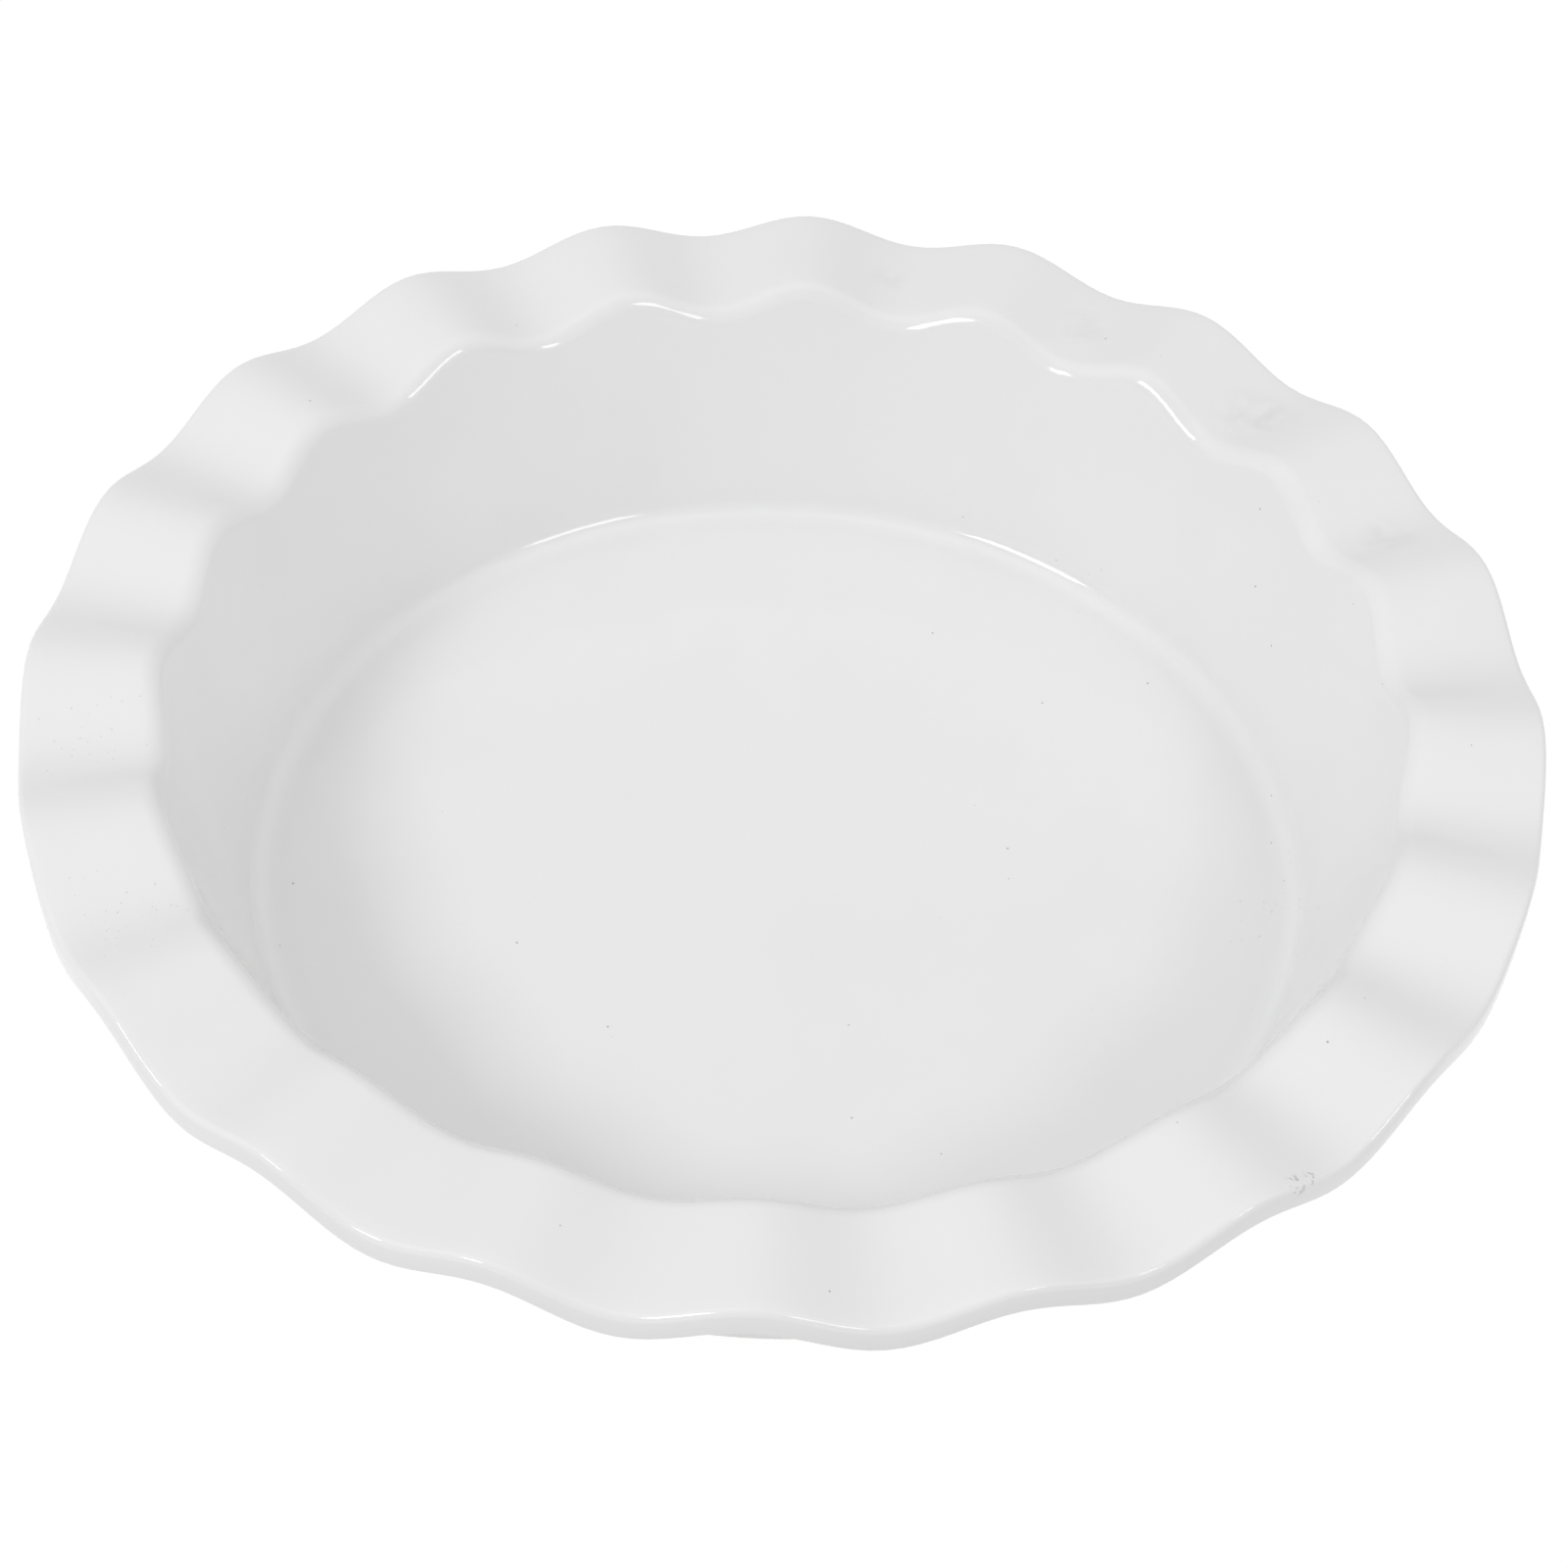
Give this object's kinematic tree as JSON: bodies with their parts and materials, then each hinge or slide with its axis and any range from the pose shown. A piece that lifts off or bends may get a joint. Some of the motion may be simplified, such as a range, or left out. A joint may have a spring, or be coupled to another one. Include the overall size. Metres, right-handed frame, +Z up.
{
  "type": "pie dish",
  "caption": "Round white glazed stoneware pie dish with a flat floor, leaning wall and a wide ruffled flange with a rounded lip.",
  "frame": {"origin": "on the table under the middle of the dish", "axes": "+Z up along the dish's axis; +X, +Y, -X and -Y each pass through a crest of the waved flange"},
  "size_m": [0.2768, 0.2768, 0.0556],
  "materials": {
    "bare_stoneware": "unglazed fired clay, matte and slightly gritty, seen only on the foot ring",
    "white_glaze": "glossy white glaze with a few pinholes and faint specks"
  },
  "bodies": {
    "root": {"stoneware_body": "bare_stoneware", "glaze_coat": "white_glaze", "underside_glaze": "white_glaze"}
  },
  "joints": []
}
